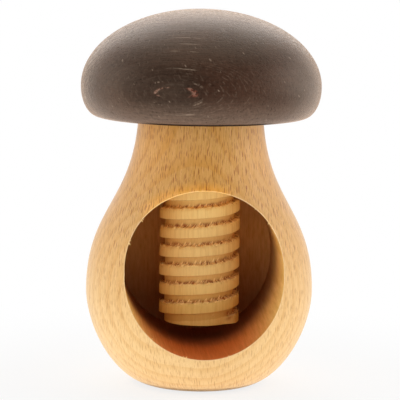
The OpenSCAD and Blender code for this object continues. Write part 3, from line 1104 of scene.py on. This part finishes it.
# Millimetres from the axis over which the floor's shadow fades, its share, and the paper's greys
SHADOW_FADE, SHADOW = (60.0, 170.0), 0.2
PAPER_DARK, PAPER_PALE = (0.86, 0.86, 0.86), (0.9, 0.9, 0.9)
# How far front or back a ray points where the tent is dimmest or brightest
TENT_EDGE = 0.6
SENSOR_WIDE, CLIP_NEAR, CLIP_FAR = 36.0, 0.05, 50.0
MIDDLE = (0, 0, 0.07)
# Square soft lights: place, aim and size in metres
LAMPS = {
    "left": ((-0.95, -0.1, 0.35), MIDDLE, 0.8),
    "right": ((0.95, -0.1, 0.35), MIDDLE, 0.8),
    "near": ((-0.6, -0.9, 0.3), MIDDLE, 0.6),
    "back": ((0, 1.1, 0.75), MIDDLE, 1.2),
    "table": ((0, -0.25, 0.5 * MM), (0, -0.25, 1), 1.4),
}


def add_light(name, place, aim, size, power, mirrored):
    """Square soft light at a place, turned towards a point, mirrored in gloss or not."""
    lamp = bpy.data.lights.new(name, "AREA")
    lamp.shape, lamp.size, lamp.energy = "SQUARE", size, power
    light = bpy.data.objects.new(name, lamp)
    light.location = place
    light.rotation_euler = (Vector(aim) - Vector(place)).to_track_quat("-Z", "Y").to_euler()
    light.visible_camera, light.visible_glossy = False, mirrored
    bpy.context.scene.collection.objects.link(light)


class NUTCRACKER_OT_stage(bpy.types.Operator):
    """Lay the floor and set the lights and the camera"""

    bl_idname = "nutcracker.stage"
    bl_label = "Set the stage"

    def execute(self, context):
        scene, setup = context.scene, context.scene.nutcracker_stage
        scene.view_settings.view_transform = "Standard"
        self.lay_floor()
        self.light(scene, setup)
        self.set_camera(scene, setup)
        return {"FINISHED"}

    def lay_floor(self):
        """Flat round floor, a hair under the base: rings of points out to eight metres.

        It is seen as white paper, and keeps the soft shadow close to the base.
        """
        level = np.full(len(FLOOR_RINGS), -FLOOR_DROP)
        floor = sewn("floor", [(turned(FLOOR_RINGS, level, FLOOR_COLUMNS), {})])
        material, f = new_finish("white_paper")
        path = f.node("LightPath")
        place = f.place()
        away = f.ease(f.far(place), *SHADOW_FADE)
        grain = f.noise(place, (0.02, 0.02, 0.02), 2.0)
        paper = f.node("BsdfDiffuse", {}, {"Color": f.mix(grain, PAPER_DARK, PAPER_PALE)})
        glow = f.node("Emission", {}, {"Color": WHITE, "Strength": 1.0})
        seen = path["Is Camera Ray"] + path["Is Glossy Ray"] + path["Is Transmission Ray"]
        seen = seen.clamped() * (away * SHADOW + (1 - SHADOW))
        both = f.node("MixShader", {}, {0: seen, 1: paper, 2: glow})
        f.node("OutputMaterial", {}, {"Surface": both})
        floor.data.materials.append(material)

    def light(self, scene, setup):
        """Tent of light, dim in front, whose far side is the white backdrop, and the soft lamps."""
        world = bpy.data.worlds.new("tent")
        scene.world = world
        world.use_nodes = True
        f = Finish(world.node_tree)
        path = f.node("LightPath")
        way = f.parts(f.node("TexCoord", output="Generated"))
        far_side = f.ease(way["Y"], -TENT_EDGE, TENT_EDGE)
        seen = path["Is Camera Ray"] + path["Is Transmission Ray"] + path["Is Glossy Ray"] * far_side
        sky = far_side * setup.back_sky + setup.front_sky
        tent = f.node("Background", {}, {"Color": WHITE, "Strength": sky})
        white = f.node("Background", {}, {"Color": WHITE, "Strength": 1.0})
        both = f.node("MixShader", {}, {0: seen.clamped(), 1: tent, 2: white})
        f.node("OutputWorld", {}, {"Surface": both})
        for name, (place, aim, size) in LAMPS.items():
            power = getattr(setup, name + "_power")
            add_light(name + "_light", place, aim, size, power, mirrored=name != "table")

    def set_camera(self, scene, setup):
        """Camera on a sphere round a point of the axis, looking a little lower, and rolled."""
        level = math.cos(setup.elevation)
        back = Vector((math.sin(setup.azimuth) * level, -math.cos(setup.azimuth) * level,
                       math.sin(setup.elevation)))
        aim = Vector((0, 0, setup.aim_z))
        lens = bpy.data.cameras.new("camera")
        lens.sensor_width, lens.lens = SENSOR_WIDE, setup.lens
        lens.clip_start, lens.clip_end = CLIP_NEAR, CLIP_FAR
        camera = bpy.data.objects.new("camera", lens)
        stand = aim + back * setup.distance
        look = aim - Vector((0, 0, setup.drop)) - stand
        facing = look.to_track_quat("-Z", "Y").to_matrix().to_4x4()
        camera.matrix_world = Matrix.Translation(stand) @ facing @ Matrix.Rotation(setup.roll, 4, "Z")
        scene.collection.objects.link(camera)
        scene.camera = camera


class NUTCRACKER_PT_panel(bpy.types.Panel):
    """Lists the pieces and the stage"""

    bl_idname = "NUTCRACKER_PT_panel"
    bl_label = "Screw nutcracker"
    bl_space_type = "VIEW_3D"
    bl_region_type = "UI"
    bl_category = "Nutcracker"

    def draw(self, context):
        for step in STEPS:
            self.layout.operator(step.bl_idname)
        for group in GROUPS:
            settings = getattr(context.scene, group)
            box = self.layout.box()
            box.label(text=GROUPS[group].__doc__)
            for key in GROUPS[group].__annotations__:
                box.prop(settings, key)


GROUPS = {
    "nutcracker_stem": StemSizes,
    "nutcracker_screw": ScrewSizes,
    "nutcracker_cap": CapSizes,
    "nutcracker_tones": WoodTones,
    "nutcracker_stage": StageSetup,
}
STEPS = (NUTCRACKER_OT_stem, NUTCRACKER_OT_screw, NUTCRACKER_OT_cap, NUTCRACKER_OT_dowel,
         NUTCRACKER_OT_stage)


def register():
    for part in (*GROUPS.values(), *STEPS, NUTCRACKER_PT_panel):
        bpy.utils.register_class(part)
    for name, group in GROUPS.items():
        setattr(bpy.types.Scene, name, PointerProperty(type=group))


def unregister():
    for name in GROUPS:
        delattr(bpy.types.Scene, name)
    for part in reversed((*GROUPS.values(), *STEPS, NUTCRACKER_PT_panel)):
        bpy.utils.unregister_class(part)


def main():
    register()
    bpy.ops.nutcracker.stem()
    bpy.ops.nutcracker.screw()
    bpy.ops.nutcracker.cap()
    bpy.ops.nutcracker.dowel()
    bpy.ops.nutcracker.stage()


if __name__ == "__main__":
    main()
